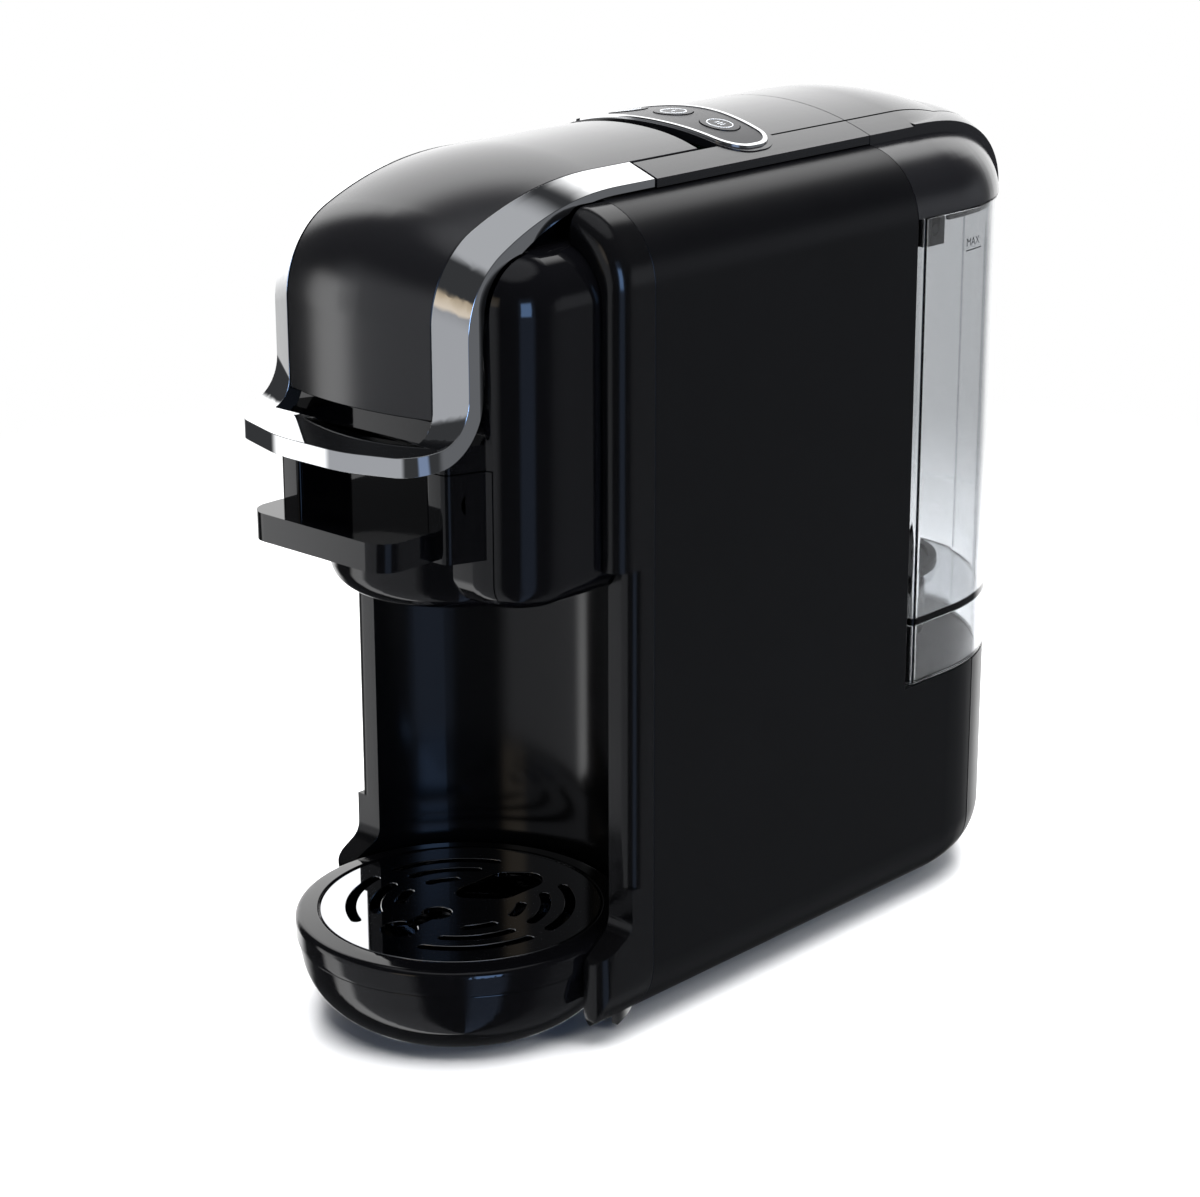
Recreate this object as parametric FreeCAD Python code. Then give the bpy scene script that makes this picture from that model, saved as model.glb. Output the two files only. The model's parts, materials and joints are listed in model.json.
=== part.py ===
import FreeCAD, Part
import math
import os

# Pod coffee machine, in millimetres. +Z is up, the cup side faces -Y, and X is across.
# The origin is the centre of the whole machine's box, on the surface it stands on.

V = FreeCAD.Vector
os.makedirs("parts", exist_ok=True)

# ---------------------------------------------------------------- driving dimensions
width = 127.0             # across the side panels
depth = 305.0             # handle bar to the rear of the tank
height = 281.0            # crown of the top cover

wall = 2.4                # moulded shells
joint_gap = 0.4           # between neighbouring shells
move_gap = 1.0            # between a moving cover and a fixed one

foot_lift = 2.0           # underside of the housing above the table
bottom_round = 21.0       # rounding along the lower edges
shoulder_z = 269.5        # top of the shoulders, under the rails
shoulder_round = 24.5
seam_y = -68.0            # front frame meets the side panels

cup_reach = 60.5          # handle bar's front edge to the axis of cup, bowl and capsule
bowl_r = 54.3             # drip bowl's rim
bowl_rim_z = 34.0
bowl_foot_r = 38.5
bowl_foot_z = 0.6
bowl_wall = 2.2
grate_r = 46.0
grate_thick = 1.6
slot_wide = 3.4
slot_radii = (20.0, 28.0, 36.0)

head_half = 56.0          # head barrel, half its width
head_front = 28.0         # its front face, ahead of the cup axis
head_bottom = 150.0
head_round = 20.0         # plan rounding of its front corners
arch_top = 259.0
arch_round = 18.0
under_round = 9.0
dome_drop = 9.0           # the outlet dome under the head
dome_r = 40.0

drawer_half = 43.4
drawer_top = 194.6
drawer_back = 34.0        # behind the cup axis
pocket_half = 28.0
tab_half = 30.5
tab_low = 167.0
tab_high = 176.0
tab_reach = 59.5          # tab's front edge, ahead of the cup axis
cheek_half = 36.6
cheek_reach = 39.4
capsule_r = 20.0
capsule_rim_r = 23.5
well_r = 27.0            # bore of the drawer that the cup insert drops into
needle_r = 0.9
spout_r = 7.0

strip_half = 31.3         # nose cover and centre strip
rail_half = 42.3          # outside of the rails and handle straps
crown_r = 110.0
strap_end_y = -44.5       # rear end of the handle straps
strap_flat_y = -62.0      # where the straps start to curve down
bar_thick = 6.0
bar_deep = 15.5
bar_slope = 10.0          # degrees, down towards the front
outer_arc = 54.2          # centre of the strap's bend at its outer edge, behind the bar's front
outer_arc_z = 235.0
outer_arc_r = 28.0
outer_foot_r = 14.0       # the strap turns forward into the bar
outer_foot_z = 218.6

pivot_y = 14.0            # lever axle
pivot_z = 263.0
axle_r = 3.0
axle_clear = 0.05
lever_arm_x = 22.0        # inner face of each lever arm
lever_arm_thick = 4.0

panel_y = 10.0            # centre of the control panel
panel_half = 36.0
panel_wide = 24.0
panel_bulge = 5.0
trim_wide = 1.4
groove = 0.8              # line between the centre strip and the rails
button_r = 6.5
button_pitch = 20.0

tank_front_y = 66.0
tank_low = 83.0
tank_top = 246.6
tank_wall = 2.4
tank_floor = 104.0
tank_round = 3.0
lid_front_y = 62.8
lid_low = 247.0
lid_overhang = 1.6        # the lid's band stands this far past the tank
lid_hinge_y = 74.0
lid_hinge_z = 242.0
lid_pin_r = 1.8
outlet_y = 106.0
outlet_r = 8.0
pedestal_r = 30.0

piston_r = 19.0

# ---------------------------------------------------------------- worked-out places
half = width / 2
front_y = -depth / 2
rear_y = depth / 2
tank_rear_y = rear_y - lid_overhang
turn_y = tank_rear_y - half    # centre of the round rear
cup_y = front_y + cup_reach
rear_seam_y = turn_y + 17.6
column_r = bowl_r + 0.7
head_front_y = cup_y - head_front
cover_end_y = lid_front_y - joint_gap


# ---------------------------------------------------------------- shape helpers
def block(x0, x1, y0, y1, z0, z1):
    return Part.makeBox(x1 - x0, y1 - y0, z1 - z0, V(x0, y0, z0))


def disc(x, y, z0, z1, r):
    return Part.makeCylinder(r, z1 - z0, V(x, y, z0))


def ring(x, y, z0, z1, r, bore):
    return disc(x, y, z0, z1, r).cut(disc(x, y, z0 - 1, z1 + 1, bore))


def rod_x(x0, x1, y, z, r):
    return Part.makeCylinder(r, x1 - x0, V(x0, y, z), V(1, 0, 0))


def rod_y(x, y0, y1, z, r):
    return Part.makeCylinder(r, y1 - y0, V(x, y0, z), V(0, 1, 0))


def rounded_wire(corners, place):
    """Closed outline through corners (a, b, radius); place turns (a, b) into a point."""
    turns = []
    for i, (a, b, r) in enumerate(corners):
        here = V(a, b, 0)
        before = V(*corners[i - 1][:2], 0)
        after = V(*corners[(i + 1) % len(corners)][:2], 0)
        if r == 0:
            turns.append((here, None, here))
            continue
        back = (before - here).normalize()
        ahead = (after - here).normalize()
        half_angle = math.acos(max(-1.0, min(1.0, back.dot(ahead)))) / 2
        reach = r / math.tan(half_angle)
        middle = here + (back + ahead).normalize() * (r / math.sin(half_angle) - r)
        turns.append((here + back * reach, middle, here + ahead * reach))
    edges = []
    for i, (start, middle, end) in enumerate(turns):
        if middle is not None:
            edges.append(Part.Arc(place(start), place(middle), place(end)).toShape())
        following = turns[(i + 1) % len(turns)][0]
        if (following - end).Length > 1e-6:
            edges.append(Part.LineSegment(place(end), place(following)).toShape())
    return Part.Wire(edges)


def slab_z(corners, z0, z1):
    face = Part.Face(rounded_wire(corners, lambda p: V(p.x, p.y, z0)))
    return face.extrude(V(0, 0, z1 - z0))


def slab_x(corners, x0, x1):
    face = Part.Face(rounded_wire(corners, lambda p: V(x0, p.x, p.y)))
    return face.extrude(V(x1 - x0, 0, 0))


def slab_y(corners, y0, y1):
    face = Part.Face(rounded_wire(corners, lambda p: V(p.x, y0, p.y)))
    return face.extrude(V(0, y1 - y0, 0))


def revolve_z(points, x, y, degrees=360.0):
    """Turn an outline of (radius, z) points about the upright line through x, y, from +X towards +Y."""
    face = Part.Face(rounded_wire(points, lambda p: V(x + p.x, y, p.y)))
    return face.revolve(V(x, y, 0), V(0, 0, 1), degrees)


def mirrored(shape):
    return shape.mirror(V(0, 0, 0), V(1, 0, 0))


def both_sides(shape):
    return Part.Compound([shape, mirrored(shape)])


def fuse(first, *others):
    return first.multiFuse(list(others)).removeSplitter()


def save(node, shape):
    shape.exportStep("parts/" + node + ".step")


# ---------------------------------------------------------------- housing outlines
def body_solid(inset, y0):
    """The closed form of the housing without its raised band, drawn in by inset."""
    side = half - inset
    low = foot_lift + inset
    top = shoulder_z - inset
    low_r = bottom_round - inset
    top_r = shoulder_round - inset
    straight = slab_y([(-side, low, low_r), (side, low, low_r), (side, top, top_r), (-side, top, top_r)],
                      y0, turn_y)
    rear = revolve_z([(0, low, 0), (side, low, low_r), (side, top, top_r), (0, top, 0)], 0, turn_y, 180)
    return straight.fuse(rear).removeSplitter()


def crown(y0, y1, lift, low_z, side):
    """A bar along Y with the crowned top of the band, raised by lift, down to low_z."""
    top = height + lift
    drop = crown_r - math.sqrt(crown_r ** 2 - side ** 2)
    arc = Part.Arc(V(-side, y0, top - drop), V(0, y0, top), V(side, y0, top - drop)).toShape()
    corners = [V(side, y0, top - drop), V(side, y0, low_z), V(-side, y0, low_z), V(-side, y0, top - drop)]
    face = Part.Face(Part.Wire([arc] + Part.makePolygon(corners).Edges))
    return face.extrude(V(0, y1 - y0, 0))


def plan_solid(inset, z0, z1):
    side = half - inset
    return slab_z([(-side, seam_y, 0), (side, seam_y, 0), (side, tank_rear_y - inset, side - 0.001),
                   (-side, tank_rear_y - inset, side - 0.001)], z0, z1)


def head_solid(inset, z0):
    """The barrel of the head: a plan with round front corners, rounded over at the top and under the rim."""
    side = head_half - inset
    front = head_front_y + inset
    top = arch_top - inset
    form = slab_z([(-side, front, head_round - inset), (side, front, head_round - inset),
                   (side, seam_y, 0), (-side, seam_y, 0)], z0, top)
    rims = [e for e in form.Edges if e.BoundBox.YMin < seam_y - 1]
    form = form.makeFillet(arch_round - inset, [e for e in rims if e.BoundBox.ZMin > top - 0.01])
    return form.makeFillet(under_round - inset, [e for e in form.Edges if e.BoundBox.ZMax < z0 + 0.01
                                                 and e.BoundBox.YMin < seam_y - 1])


def dome(inset):
    """The shallow dome under the head, with its flat side up."""
    drop = dome_drop - inset
    r = (dome_r ** 2 + dome_drop ** 2) / (2 * dome_drop)
    ball = Part.makeSphere(r - inset, V(0, cup_y, head_bottom - dome_drop + r))
    return ball.common(disc(0, cup_y, head_bottom - drop - 1, head_bottom + 0.01, dome_r))


def strap_outline(top, arc_y, arc_z, arc_r, foot_r, foot_z, slope, reach_y, thin, thick, x):
    """Side outline of a strap: flat top, long curve, quarter curve, upright run, then a shelf."""
    def side_line(z_top, r):
        a = strap_flat_y - arc_y
        b = z_top - arc_z
        long_r = (a * a + b * b - r * r) / (2 * (b - r))
        centre = V(0, strap_flat_y, z_top - long_r)
        towards = V(0, arc_y, arc_z).sub(centre).normalize()
        return centre, long_r, centre + towards * long_r

    def on_arc(cy, cz, r, degrees):
        turn = math.radians(degrees)
        return V(x, cy - r * math.sin(turn), cz + r * math.cos(turn))

    edges = []
    ends = []
    for z_top, r, front, foot in ((top, arc_r, arc_y - arc_r, foot_r),
                                  (top - thin, arc_r - thick, arc_y - arc_r + thick, foot_r + bar_thick)):
        centre, long_r, join = side_line(z_top, r)
        join_turn = math.degrees(math.atan2(centre.y - join.y, join.z - centre.z))
        start = V(x, strap_end_y, z_top)
        flat_end = V(x, strap_flat_y, z_top)
        corner = on_arc(arc_y, arc_z, r, 90)
        foot_top = V(x, front, foot_z)
        turn = math.radians(90 - slope)
        foot_mid = V(x, front - foot + foot * math.cos(turn / 2), foot_z - foot * math.sin(turn / 2))
        foot_end = V(x, front - foot + foot * math.cos(turn), foot_z - foot * math.sin(turn))
        run = foot_end.y - reach_y
        tip = V(x, reach_y, foot_end.z - run * math.tan(math.radians(slope)))
        edges.append([Part.LineSegment(start, flat_end).toShape(),
                      Part.Arc(flat_end, on_arc(centre.y, centre.z, long_r, join_turn / 2),
                               V(x, join.y, join.z)).toShape(),
                      Part.Arc(V(x, join.y, join.z), on_arc(arc_y, arc_z, r, (join_turn + 90) / 2),
                               corner).toShape(),
                      Part.LineSegment(corner, foot_top).toShape(),
                      Part.Arc(foot_top, foot_mid, foot_end).toShape(),
                      Part.LineSegment(foot_end, tip).toShape()])
        ends.append((start, tip))
    outer, inner = edges
    front_closing = Part.LineSegment(ends[0][1], ends[1][1]).toShape()
    rear_closing = Part.LineSegment(ends[1][0], ends[0][0]).toShape()
    return Part.Wire(outer + [front_closing] + inner[::-1] + [rear_closing])


# ---------------------------------------------------------------- base, feet, panels
def base_outline(inset):
    side = half - bottom_round - 1.0 - inset
    back = turn_y + side
    return [(-side, seam_y + 2, 0), (side, seam_y + 2, 0), (side, back, side - 0.001),
            (-side, back, side - 0.001)]


foot_spots = [(sx * x, y) for sx in (-1, 1) for x, y in ((32.0, seam_y + 38), (26.0, turn_y + 18))]
screw_spots = [(sx * 36.0, y) for sx in (-1, 1) for y in (seam_y + 55, turn_y - 30)]
bowl_bay = disc(0, cup_y, -1, 160, column_r + wall + joint_gap)
base_plate = slab_z(base_outline(joint_gap), foot_lift, foot_lift + 3.0).cut(bowl_bay)
for x, y in foot_spots:
    base_plate = base_plate.cut(disc(x, y, 0, foot_lift + 1.0, 7.3))
for x, y in screw_spots:
    base_plate = base_plate.cut(disc(x, y, 0, 10, 1.7)).cut(disc(x, y, 0, foot_lift + 1.4, 3.4))
save("base_plate", base_plate)
save("feet", Part.Compound([disc(x, y, 0, foot_lift + 1.0, 7.0) for x, y in foot_spots]))
save("base_screws", Part.Compound(
    [fuse(disc(x, y, foot_lift + 0.2, foot_lift + 1.4, 3.0), disc(x, y, foot_lift + 1.4, 14, 1.4))
     for x, y in screw_spots]))

shell = body_solid(0, seam_y).cut(body_solid(wall, seam_y - 1))
base_hole = slab_z(base_outline(0), 0, foot_lift + 6)
rear_cut = block(-half - 1, half + 1, cover_end_y + joint_gap, rear_y + 1, tank_low - joint_gap, height + 1)
side_shell = shell.cut(base_hole).cut(rear_cut)
side_shell = side_shell.cut(block(-36, 36, seam_y - 1, rear_y, 100, height))
side_shell = side_shell.common(block(1, half + 1, seam_y, rear_seam_y, 0, height)).cut(bowl_bay)
save("side_panel_right", side_shell)
save("side_panel_left", mirrored(side_shell))

rear_shell = shell.cut(base_hole)
rear_shell = rear_shell.common(block(-half - 1, half + 1, rear_seam_y + joint_gap, rear_y + 1, 0,
                                     tank_low - joint_gap))
gland_z = 30.0
gland_r = 5.0
rear_shell = rear_shell.cut(rod_y(0, tank_rear_y - 10, rear_y + 1, gland_z, gland_r + joint_gap))
save("rear_panel", rear_shell)
gland = Part.makeCylinder(gland_r, 7, V(0, tank_rear_y - 7.4, gland_z), V(0, 1, 0))
gland = gland.fuse(Part.makeCylinder(gland_r + 2.4, 3, V(0, tank_rear_y - 8.4, gland_z), V(0, 1, 0)))
gland = gland.cut(Part.makeCylinder(3.4, 20, V(0, tank_rear_y - 15, gland_z), V(0, 1, 0)))
save("cable_gland", gland.removeSplitter())

# ---------------------------------------------------------------- tank seat and bulkhead
seat_top = tank_low - 1.0
bulkhead_y0 = lid_front_y - joint_gap - wall
inner_plan = plan_solid(wall + joint_gap, seat_top - 3.0, seat_top)
tray = inner_plan.common(block(-half, half, bulkhead_y0, rear_y, 0, height))
bulk_side = half - wall - joint_gap
bulkhead = block(-bulk_side, bulk_side, bulkhead_y0, bulkhead_y0 + wall, seat_top - 0.5, shoulder_z - 30)
pedestal = disc(0, outlet_y, seat_top - 0.5, tank_floor - 6.0, pedestal_r)
socket = disc(0, outlet_y, 60, height, outlet_r + 0.6)
seat = fuse(tray, bulkhead, pedestal)
seat = seat.cut(disc(0, outlet_y, seat_top - 5, tank_floor - 8.5, pedestal_r - wall))
collar = ring(0, outlet_y, seat_top - 8, tank_floor - 6.0, outlet_r + 3.2, outlet_r + 0.6)
seat = fuse(seat, collar).cut(socket)
seat_floor = ring(0, outlet_y, seat_top - 8, seat_top - 5.6, outlet_r + 1.0, 2.5)
spokes = [block(-outlet_r - 1, outlet_r + 1, outlet_y - 1, outlet_y + 1, seat_top - 8, seat_top - 5.6)]
seat = fuse(seat, seat_floor, *spokes)
push_pin_top = tank_floor - 18.0
seat = fuse(seat, disc(0, outlet_y, seat_top - 8, push_pin_top, 1.5))
save("tank_seat", seat)
save("tank_seat_seal", ring(0, outlet_y, tank_floor - 5.9, tank_floor - 3.6, outlet_r + 2.4,
                            outlet_r + 0.3))

# ---------------------------------------------------------------- front frame
frame_face_y = -84.0      # front of the frame beside the head
strip_face_y = -78.0      # front of the frame beside the cup
lip_face_y = cup_y        # front of the lips beside the bowl
lip_top = 30.0
flare_top = 46.0
step_z = 158.0            # frame's wide head part starts here
ceiling_z = 154.0
face_round = 7.0
lip_round = 7.0
solid_foot = 54.0         # the lips are solid up to here


def frame_form(inset):
    """The outside of the front frame, drawn in by inset."""
    side = half - inset
    low = foot_lift + inset
    top = shoulder_z - inset
    low_r = bottom_round - inset
    top_r = shoulder_round - inset
    outline = [(-side, low, low_r), (side, low, low_r), (side, top, top_r), (-side, top, top_r)]
    form = slab_y(outline, lip_face_y + inset, seam_y)
    face = frame_face_y + inset
    upper = slab_y(outline, face, seam_y)
    upper = upper.makeFillet(face_round - inset, [e for e in upper.Edges if e.BoundBox.YMax < face + 0.01])
    plan = upper.common(block(-half, half, face - 1, seam_y + 1, step_z + inset, height))
    lower = slab_z([(-side, strip_face_y + inset, 5), (side, strip_face_y + inset, 5), (side, seam_y, 0),
                    (-side, seam_y, 0)], 0, step_z + 1)
    lips = slab_x([(lip_face_y + inset, low, lip_round + 5), (seam_y, low, 0),
                   (seam_y, flare_top + 6 - inset, 0),
                   (strip_face_y + inset, flare_top + 6 - inset, 0),
                   (strip_face_y + inset, lip_top + 8 - inset, 6),
                   (lip_face_y + inset, lip_top - inset, 4)],
                  -side, side)
    lips = lips.common(slab_z([(-side, lip_face_y + inset, lip_round),
                               (side, lip_face_y + inset, lip_round),
                               (side, seam_y, 0), (-side, seam_y, 0)], 0, flare_top + 9))
    return form.common(fuse(plan, lower, lips))


cup_cut = disc(0, cup_y, -1, ceiling_z, column_r)
cup_back = disc(0, cup_y, -1, ceiling_z + wall, column_r + wall)
outer = frame_form(0)
inner = frame_form(wall)
inner = inner.fuse(inner.copy().translate(V(0, 2, 0)))
inner = inner.common(block(-half, half, front_y, 0, solid_foot, height))
column = ring(0, cup_y, foot_lift, ceiling_z, column_r + wall, column_r)
column = column.common(block(-half + 4, half - 4, strip_face_y + 1, 0, foot_lift, ceiling_z))
ceiling = disc(0, cup_y, ceiling_z, ceiling_z + wall, column_r + wall)
ceiling = ceiling.common(block(-half + 4, half - 4, strip_face_y + 1, 0, 0, height))
frame = outer.cut(inner.cut(cup_back)).cut(cup_cut)
frame = fuse(frame, column, ceiling)
frame = frame.cut(head_solid(-joint_gap, head_bottom - 1).fuse(head_solid(-joint_gap, head_bottom - 1)
                                                             .translate(V(0, 3, 0))))
frame = frame.cut(block(-rail_half - move_gap, rail_half + move_gap, frame_face_y - 30, 0, 250, height))
frame = frame.cut(base_hole)
frame = frame.cut(block(-drawer_half - 1, drawer_half + 1, front_y, cup_y + drawer_back + 1.5,
                        head_bottom - 1,
                        drawer_top + 1))
frame = frame.cut(block(-half, half, front_y, lip_face_y + 16, 0, foot_lift + 3))
frame = max(frame.Solids, key=lambda s: s.Volume)
save("front_frame", frame)

# ---------------------------------------------------------------- head housing
head_back_y = seam_y - joint_gap
recess_y = cup_y - head_front + 3.5       # front face behind the straps
lever_floor = 250.0


def strap_clearance(grow):
    """Room for the lever: everything above the underside of its straps."""
    cy = front_y + outer_arc
    cz = outer_arc_z
    r = outer_arc_r - bar_thick - grow
    top = 269.8 - grow
    a = strap_flat_y - cy
    b = top - cz
    long_r = (a * a + b * b - r * r) / (2 * (b - r))
    centre = V(0, strap_flat_y, top - long_r)
    join = centre + (V(0, cy, cz) - centre).normalize() * long_r
    join_turn = math.atan2(centre.y - join.y, join.z - centre.z)
    side = rail_half + move_gap

    def at(c_y, c_z, radius, turn):
        return V(-side, c_y - radius * math.sin(turn), c_z + radius * math.cos(turn))

    start = V(-side, 0, top)
    flat = V(-side, strap_flat_y, top)
    bend = at(cy, cz, r, math.pi / 2)
    foot = V(-side, cy - r, drawer_top + joint_gap)
    edges = [Part.LineSegment(start, flat).toShape(),
             Part.Arc(flat, at(centre.y, centre.z, long_r, join_turn / 2),
                      V(-side, join.y, join.z)).toShape(),
             Part.Arc(V(-side, join.y, join.z), at(cy, cz, r, (join_turn + math.pi / 2) / 2),
                      bend).toShape(),
             Part.LineSegment(bend, foot).toShape()]
    far = front_y - 20
    corners = [foot, V(-side, far, foot.z), V(-side, far, height + 9), V(-side, 0, height + 9), start]
    edges += Part.makePolygon(corners).Edges
    return Part.Face(Part.Wire(edges)).extrude(V(2 * side, 0, 0))


lever_room = strap_clearance(move_gap)
cover_room = block(-strip_half + 1, strip_half - 1, front_y, -20, lever_floor, height)
head = head_solid(0, head_bottom).common(block(-half, half, front_y, head_back_y, 0, height))
head = head.cut(head_solid(wall, head_bottom + wall).fuse(block(-head_half + wall, head_half - wall,
                head_back_y - 5, head_back_y + 5, head_bottom + wall, arch_top - 30)))
head = head.cut(lever_room).cut(cover_room)
deck_front = cup_y - 22
deck = block(-head_half + wall, head_half - wall, deck_front, head_back_y, lever_floor - 6,
             lever_floor - 6 + wall)
front_wall = block(-rail_half, rail_half, recess_y + 2.6, recess_y + 2.6 + wall, drawer_top + 3,
                   lever_floor)
lever_top = block(-rail_half, rail_half, recess_y + 2.6, deck_front + wall, lever_floor - 6,
                  lever_floor - 6 + wall)
head = fuse(head, deck.common(head_solid(1, head_bottom)), front_wall, lever_top)
drawer_room = block(-drawer_half - joint_gap, drawer_half + joint_gap, front_y, cup_y + drawer_back + 1,
                    head_bottom - 20, drawer_top + joint_gap)
piston_room = disc(0, cup_y, drawer_top, height, piston_r + 4.0)
guide_flange_r = piston_r + 7.0
flange_room = disc(0, cup_y, 233.6, 240.5, guide_flange_r + joint_gap)
head = head.cut(drawer_room).cut(piston_room).cut(flange_room)
jaw = slab_z([(pocket_half, cup_y - cheek_reach, 1.5), (cheek_half, cup_y - cheek_reach, 3),
              (drawer_half, recess_y + 3, 0), (pocket_half, recess_y + 3, 0)], drawer_top + joint_gap,
              203.0)
head = fuse(head, jaw, mirrored(jaw))
brow = block(-pocket_half - 1, pocket_half + 1, recess_y, recess_y + 4, drawer_top + joint_gap, 220.0)
head = fuse(head, brow)
foot_room = rod_x(-half, half, front_y + outer_arc - outer_arc_r - outer_foot_r, outer_foot_z,
                  outer_foot_r + bar_thick + move_gap)
head = head.cut(foot_room)
head = max(head.Solids, key=lambda s: s.Volume)
save("head_housing", head)

# ---------------------------------------------------------------- capsule drawer
drawer_plan = head_solid(0, head_bottom).common(
    block(-drawer_half, drawer_half, front_y, cup_y + drawer_back, head_bottom, drawer_top))
drawer = drawer_plan.fuse(dome(0).common(block(-drawer_half, drawer_half, front_y, cup_y + drawer_back,
                                               0, height)))
apron_side = block(-cheek_half, cheek_half, front_y, cup_y - 12, 0, height)
apron_r = 33.0            # the round front leaves the dome here
apron = revolve_z([(0, head_bottom - 3.0, 0), (apron_r, head_bottom - 3.0, 0),
                   (cheek_reach, head_bottom - 0.6, 8),
                   (cheek_reach, tab_low + 1, 0), (0, tab_low + 1, 0)], 0, cup_y)
drawer = drawer.cut(ring(0, cup_y, 100, head_bottom + 0.1, dome_r + 5, apron_r).common(apron_side))
drawer = drawer.fuse(apron.common(apron_side))
cheek = slab_z([(pocket_half, cup_y - cheek_reach, 1.5), (cheek_half, cup_y - cheek_reach, 3),
                (drawer_half - 1, head_front_y + 3, 0), (pocket_half, head_front_y + 3, 0)],
               tab_low, drawer_top)
tab_y = cup_y - tab_reach
tab = slab_z([(-tab_half, tab_y, 8), (tab_half, tab_y, 8), (tab_half, head_front_y + 6, 0),
              (-tab_half, head_front_y + 6, 0)], tab_low, tab_high)
drawer = fuse(drawer, cheek, mirrored(cheek), tab)
pocket_y = cup_y - well_r - wall
drawer = drawer.cut(block(-pocket_half, pocket_half, front_y, pocket_y, tab_high, drawer_top + 1))
well = disc(0, cup_y, head_bottom - dome_drop + wall + 1.6, drawer_top + 1, well_r)
drawer = drawer.cut(well)
side_bay = drawer_half - 2.5
for sx in (-1, 1):
    bay = block(0, side_bay - well_r - wall, cup_y - 8, cup_y + drawer_back - wall, head_bottom + wall,
                drawer_top + 1)
    bay.translate(V(well_r + wall, 0, 0))
    drawer = drawer.cut(bay if sx > 0 else mirrored(bay))
for sx in (-1, 1):
    thumb = Part.makeCylinder(4.2, 6, V(sx * (cheek_half + 2.4), head_front_y - 2.5, 185), V(-sx, 0.0, 0))
    drawer = drawer.cut(thumb)
needle_slot = block(-needle_r - 0.8, needle_r + 0.8, cup_y, cup_y + drawer_back + 1, drawer_top - 6,
                    drawer_top + 1)
spout_hole = disc(0, cup_y, 100, head_bottom + 10, spout_r + 0.1)
drawer = drawer.cut(needle_slot).cut(spout_hole)
drawer = max(drawer.Solids, key=lambda s: s.Volume)
save("capsule_drawer", drawer)

cup_floor = head_bottom - dome_drop + wall + 2.0
insert = revolve_z([(4.4, cup_floor, 0), (well_r - 0.1, cup_floor, 0), (well_r - 0.1, drawer_top - 0.6, 0),
                    (capsule_rim_r, drawer_top - 0.6, 0), (capsule_rim_r, drawer_top - 3.0, 0),
                    (capsule_r + 1, drawer_top - 3.0, 0), (capsule_r - 3, cup_floor + 3, 2),
                    (4.4, cup_floor + 2, 0)],
                   0, cup_y)
insert = insert.cut(needle_slot)
save("cup_insert", insert)
spout = revolve_z([(4.4, head_bottom - dome_drop - 0.6, 0.5), (spout_r, head_bottom - dome_drop - 0.6, 1),
                   (spout_r, cup_floor - 0.1, 0), (4.4, cup_floor - 0.1, 0)], 0, cup_y)
save("outlet_spout", spout)

# ---------------------------------------------------------------- drip bowl and grate
rim_low = bowl_rim_z - 8.5
bowl = revolve_z([(0, bowl_foot_z, 0), (bowl_foot_r, bowl_foot_z, 2), (bowl_r - 3.6, bowl_foot_z + 8, 26),
                  (bowl_r - 0.6, rim_low, 0), (grate_r - 3, rim_low, 0), (grate_r - 4, rim_low - 6, 5),
                  (bowl_foot_r - 3, bowl_foot_z + bowl_wall, 6), (0, bowl_foot_z + bowl_wall, 0)], 0, cup_y)
save("drip_bowl", bowl)
rim = revolve_z([(grate_r - 2.5, rim_low + 0.1, 0), (bowl_r - 0.3, rim_low + 0.1, 0),
                 (bowl_r, rim_low + 1.4, 0),
                 (bowl_r, bowl_rim_z - 0.5, 2.5), (grate_r + 0.5, bowl_rim_z + 0.4, 0.8),
                 (grate_r + 0.5, bowl_rim_z - 2.4, 0), (grate_r - 2.5, bowl_rim_z - 2.4, 0)], 0, cup_y)
save("drip_rim", rim)


def arc_slot(r, start, end):
    """A slot of the grate's pattern along a circle, with round ends, between two angles in degrees."""
    a0, a1 = math.radians(start), math.radians(end)

    def point(radius, a):
        return V(radius * math.cos(a), cup_y + radius * math.sin(a), bowl_rim_z - 5)

    out_r, in_r, mid = r + slot_wide / 2, r - slot_wide / 2, (a0 + a1) / 2
    cap0 = point(r, a0) + V(math.sin(a0), -math.cos(a0), 0) * (slot_wide / 2)
    cap1 = point(r, a1) + V(-math.sin(a1), math.cos(a1), 0) * (slot_wide / 2)
    edges = [Part.Arc(point(out_r, a0), point(out_r, mid), point(out_r, a1)).toShape(),
             Part.Arc(point(out_r, a1), cap1, point(in_r, a1)).toShape(),
             Part.Arc(point(in_r, a1), point(in_r, mid), point(in_r, a0)).toShape(),
             Part.Arc(point(in_r, a0), cap0, point(out_r, a0)).toShape()]
    return Part.Face(Part.Wire(edges)).extrude(V(0, 0, 10))


grate = disc(0, cup_y, bowl_rim_z - grate_thick, bowl_rim_z, grate_r)
skirt = ring(0, cup_y, bowl_rim_z - 7.5, bowl_rim_z - grate_thick + 0.1, grate_r - 3.2, grate_r - 5.0)
grate = fuse(grate, skirt)
centre_bar = 15.5         # half the plain band along Y
side_bar = 5.0            # half the plain band along X
for r in slot_radii:
    first = math.degrees(math.asin(side_bar / r))
    last = math.degrees(math.acos(centre_bar / r))
    for quarter in ((first, last), (180 - last, 180 - first), (180 + first, 180 + last), (-last, -first)):
        grate = grate.cut(arc_slot(r, *quarter))
leaf_hole = slab_z([(-9, cup_y + 7, 8), (-4, cup_y + 2, 4), (9, cup_y + 12, 8), (9, cup_y + 30, 8),
                    (2, cup_y + 36, 5), (-9, cup_y + 27, 8)], bowl_rim_z - 5, bowl_rim_z + 1)
key_hole = fuse(disc(0, cup_y - 28, bowl_rim_z - 5, bowl_rim_z + 1, 6.0),
                disc(0, cup_y - 11, bowl_rim_z - 5, bowl_rim_z + 1, 5.0),
                block(-2.6, 2.6, cup_y - 28, cup_y - 11, bowl_rim_z - 5, bowl_rim_z + 1))
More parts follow.
